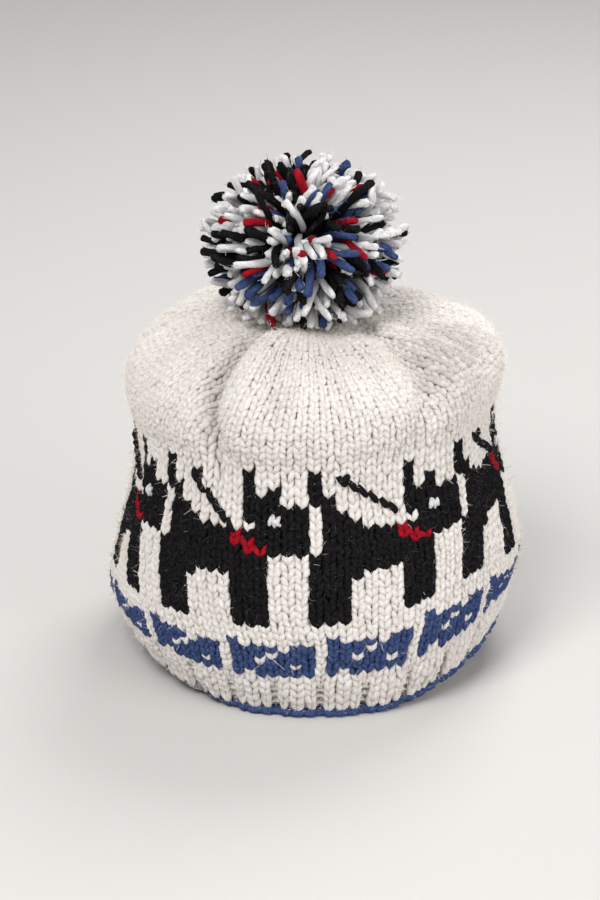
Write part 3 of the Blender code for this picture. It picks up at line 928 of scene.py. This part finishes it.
class CosySettings(bpy.types.PropertyGroup):
    """Sizes and colours of the wool that a user may change."""

    yarn_thickness: length("Yarn thickness", "Thickness of one leg of a stitch", 2.5, 1.0, 5.0)
    strand_thickness: length("Pompom strand thickness", "Thickness of the cut ends in the pompom",
                             3.2, 1.0, 6.0)
    fibre_length: length("Fibre length", "Usual length of a loose fibre", 2.6, 0.5, 10.0)
    strands: bpy.props.IntProperty(
        name="Pompom strands", description="How many cut ends the pompom has",
        default=880, min=100, max=2500)
    fibres: bpy.props.IntProperty(
        name="Loose fibres", description="Each kind of loose fibre comes to a share of this",
        default=42000, min=0, max=60000)
    cream: dye("cream")
    black: dye("black")
    blue: dye("blue")
    red: dye("red")
    white: dye("white")


class COSY_OT_knitting(bpy.types.Operator):
    """Knits the cloth and every stitch on it"""

    bl_idname = "cosy.knitting"
    bl_label = "Knit the cosy"

    def execute(self, context):
        radius = context.scene.cosy.yarn_thickness / 2.0
        dice = np.random.default_rng(11)
        ground = ground_sheet()
        cells, purls = knitted_cells()
        cream = wool_material("cream")
        pieces = [tube_piece("lead_stitches", lead_strokes(radius, dice), wool_material("black"))]
        for band, low, high in CREAM_BANDS:
            chosen = [cell for cell in cells["cream"] if low <= cell[1] < high]
            pieces.append(tube_piece(f"stitches_cream_{band}", stitch_legs(chosen, radius, dice),
                                     cream, painted_light_along=LEG_PAINTED_LIGHT, painted_light_tubes=painted_fold_light(chosen)))
        for yarn in ("black", "blue", "red"):
            legs = stitch_legs(cells[yarn], radius, dice, PROUD)
            pieces.append(tube_piece(f"stitches_{yarn}", legs, wool_material(yarn),
                                     painted_light_along=LEG_PAINTED_LIGHT))
        pieces += [
            tube_piece("eye_knots", eye_knots(radius), wool_material("white"), painted_light_along=KNOT_PAINTED_LIGHT),
            tube_piece("rib_purls", purl_bumps(purls, radius), cream),
            tube_piece("inner_purls", inner_purls(radius), cream, sides=3),
            tube_piece("cast_on_edge", cast_on_edge(radius), wool_material("blue"), sides=8,
                       arc=FULL_TURN),
        ]
        for piece in [ground] + pieces:
            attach(piece, "root")
        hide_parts("cosy")
        return {"FINISHED"}


class COSY_OT_fuzz(bpy.types.Operator):
    """Raises the halo of loose fibres"""

    bl_idname = "cosy.fuzz"
    bl_label = "Raise the halo"

    def execute(self, context):
        settings = context.scene.cosy
        dice = np.random.default_rng(23)
        for name, yarn, share, longer, wider, lift, curl, faces in FIBRES:
            count = int(settings.fibres * share)
            wale = dice.uniform(0.0, STITCHES, count)
            row = dice.uniform(*FIBRE_ROWS, count)
            keep = np.array([yarn_at(int(w), int(r)) != "cream" for w, r in zip(wale, row)])
            if yarn == "cream":
                keep = ~keep | (dice.random(count) < BLOWN_OVER)
            wale, row = wale[keep], row[keep]
            roots, normals, _ = off_fabric(wale, row, np.full(len(wale), FIBRE_DEPTH))
            ways = unit(lift * normals + FIBRE_SCATTER * dice.normal(size=roots.shape))
            outward = (ways * normals).sum(-1, keepdims=True)
            ways = unit(ways + np.maximum(LEAST_LIFT - outward, 0.0) * normals)
            lengths = settings.fibre_length * longer * dice.gamma(*FIBRE_GAMMA, len(wale))
            lengths = np.minimum(lengths, LONGEST_FIBRE)
            roots[:, 2] = np.maximum(roots[:, 2], LOWEST_ROOT)
            ways[:, 2] = np.where(roots[:, 2] < HEM_FIBRES, np.abs(ways[:, 2]), ways[:, 2])
            widths = dice.uniform(*FIBRE_WIDTHS, len(wale)) * wider
            halo(name, yarn, roots, ways, lengths, widths, dice, curl, faces)
        return {"FINISHED"}


class COSY_OT_pompom(bpy.types.Operator):
    """Makes the pompom of cut strands in four yarns"""

    bl_idname = "cosy.pompom"
    bl_label = "Make the pompom"

    def execute(self, context):
        dice = np.random.default_rng(5)
        count = context.scene.cosy.strands
        radius = context.scene.cosy.strand_thickness / 2.0
        paths, yarns = strand_paths(count, dice)
        floor = crown_height(paths) + radius * 1.1
        keep = paths[:, -1, 2] >= floor[:, -1] - SUNK
        paths[..., 2] = np.maximum(paths[..., 2], floor)
        thickness = radius * (1.0 + STRAND_UNEVENNESS * dice.normal(size=(count, 1)))
        radii = thickness * np.array(STRAND_FULLNESS)
        plies = dice.uniform(0.0, math.pi, (count, 1)) + FULL_TURN * PLY_TURNS * STRAND_RINGS
        # painted shade along each strand, darkest at the tie, varied a little by chance
        painted_light = np.array(STRAND_PAINTED_LIGHT) + dice.normal(0.0, PAINTED_LIGHT_UNEVENNESS, (count, 1))
        painted_light = np.clip(painted_light, 0.0, 1.0)[:, :, None]
        normals = np.broadcast_to(unit(paths[:, -1] - POMPOM_CENTRE)[:, None], paths.shape)
        side = unit(np.cross(normals, dice.normal(size=(count, 1, 3))))
        around = np.linspace(-math.pi, math.pi, STRAND_SIDES, endpoint=False)
        pieces = []
        for yarn in ("white", "black", "blue", "red"):
            chosen = keep & (yarns == yarn)
            points, quads, index = sweep(paths[chosen], side[chosen], radii[chosen], STRAND_SIDES,
                                         oval=plies[chosen], fuzz=STRAND_FUZZ)
            # painted shade in the grooves between the plies
            groove_shade = 0.5 - 0.5 * np.cos(PLIES * (around - plies[chosen][:, :, None]))
            pieces.append(mesh_object(f"pompom_{yarn}", points, quads, ends=index[:, -1],
                                      materials=(wool_material(yarn),),
                                      painted_light=painted_light[chosen] * (1.0 - PLY_SHADE * groove_shade)))
        for piece in pieces + [pompom_shaded_heart()]:
            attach(piece, "root")
        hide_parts("pompom")
        pick = dice.integers(0, count, DOWN_COUNT)
        roots = paths[pick, dice.integers(*DOWN_RINGS, DOWN_COUNT)]
        outward = unit(roots - POMPOM_CENTRE)
        ways = unit(outward + DOWN_SCATTER * dice.normal(size=roots.shape))
        lengths = np.minimum(DOWN_LENGTH * dice.gamma(*DOWN_GAMMA, DOWN_COUNT), DOWN_LONGEST)
        low = roots[:, 2] < crown_height(roots) + DOWN_RISES
        ways[:, 2] = np.where(low, np.abs(ways[:, 2]), ways[:, 2])
        white = yarns[pick] == "white"
        for yarn, name, own in (("white", "pompom_fibres", white),
                                ("black", "pompom_dark_fibres", ~white)):
            widths = np.full(int(own.sum()), DOWN_WIDTH)
            halo(name, yarn, roots[own], ways[own], lengths[own], widths, dice, DOWN_CURL)
        return {"FINISHED"}


# ---- stage, in metres and watts ----

FLOOR_HALF = 3.0
WORLD_STRENGTH = 0.44
LAMPS = (
    ("key", (-0.42, -0.78, 1.22), 0.60, 14.5),
    ("fill", (0.95, -0.75, 0.55), 0.9, 6.7),
    ("rim", (0.35, 0.7, 1.15), 0.6, 9.0),
)
LAMP_TARGET = Vector((-0.003, 0.0, 0.09))
CAMERA_AIM = Vector((-0.0058, 0.0, 0.0844))
CAMERA_DISTANCE = 1.13
CAMERA_ELEVATION = math.radians(23.0)
SENSOR_HEIGHT, FOCAL_LENGTH = 36.0, 107.6  # mm


class COSY_OT_stage(bpy.types.Operator):
    """Sets out the floor, the lights and the camera"""

    bl_idname = "cosy.stage"
    bl_label = "Set the stage"

    def execute(self, context):
        scene = context.scene
        corners = np.array(((-1, -1, 0), (1, -1, 0), (1, 1, 0), (-1, 1, 0))) * FLOOR_HALF
        board = plain_material("matt_board", "#CDCBC8", Roughness=0.8)
        mesh_object("floor", corners, np.array(((0, 1, 2, 3),)), materials=(board,))
        world = bpy.data.worlds.new("studio")
        world.use_nodes = True
        background = world.node_tree.nodes["Background"]
        background.inputs["Color"].default_value = linear("#F4F3F1")
        background.inputs["Strength"].default_value = WORLD_STRENGTH
        scene.world = world
        scene.view_settings.view_transform = "Standard"
        for name, place, width, watts in LAMPS:
            lamp = bpy.data.lights.new(name, "AREA")
            lamp.size = width
            lamp.energy = watts
            holder = bpy.data.objects.new(name, lamp)
            holder.location = place
            way = LAMP_TARGET - Vector(place)
            holder.rotation_euler = way.to_track_quat("-Z", "Y").to_euler()
            scene.collection.objects.link(holder)
        camera = bpy.data.cameras.new("camera")
        camera.sensor_fit = "VERTICAL"
        camera.sensor_height = SENSOR_HEIGHT
        camera.lens = FOCAL_LENGTH
        holder = bpy.data.objects.new("camera", camera)
        back = Vector((0.0, -math.cos(CAMERA_ELEVATION), math.sin(CAMERA_ELEVATION)))
        holder.location = CAMERA_AIM + CAMERA_DISTANCE * back
        holder.rotation_euler = (math.pi / 2.0 - CAMERA_ELEVATION, 0.0, 0.0)
        scene.collection.objects.link(holder)
        scene.camera = holder
        return {"FINISHED"}


class COSY_PT_panel(bpy.types.Panel):
    """Lists the steps that make the cosy"""

    bl_idname = "COSY_PT_panel"
    bl_label = "Tea cosy"
    bl_space_type = "VIEW_3D"
    bl_region_type = "UI"
    bl_category = "Cosy"

    def draw(self, context):
        for name in CosySettings.__annotations__:
            self.layout.prop(context.scene.cosy, name)
        for operator in OPERATORS:
            self.layout.operator(operator.bl_idname)


OPERATORS = (COSY_OT_stage, COSY_OT_knitting, COSY_OT_fuzz, COSY_OT_pompom)


def register():
    for item in (CosySettings, *OPERATORS, COSY_PT_panel):
        bpy.utils.register_class(item)
    bpy.types.Scene.cosy = bpy.props.PointerProperty(type=CosySettings)


def unregister():
    del bpy.types.Scene.cosy
    for item in reversed((CosySettings, *OPERATORS, COSY_PT_panel)):
        bpy.utils.unregister_class(item)


def main():
    register()
    bpy.ops.cosy.stage()
    bpy.ops.cosy.knitting()
    bpy.ops.cosy.fuzz()
    bpy.ops.cosy.pompom()


if __name__ == "__main__":
    main()
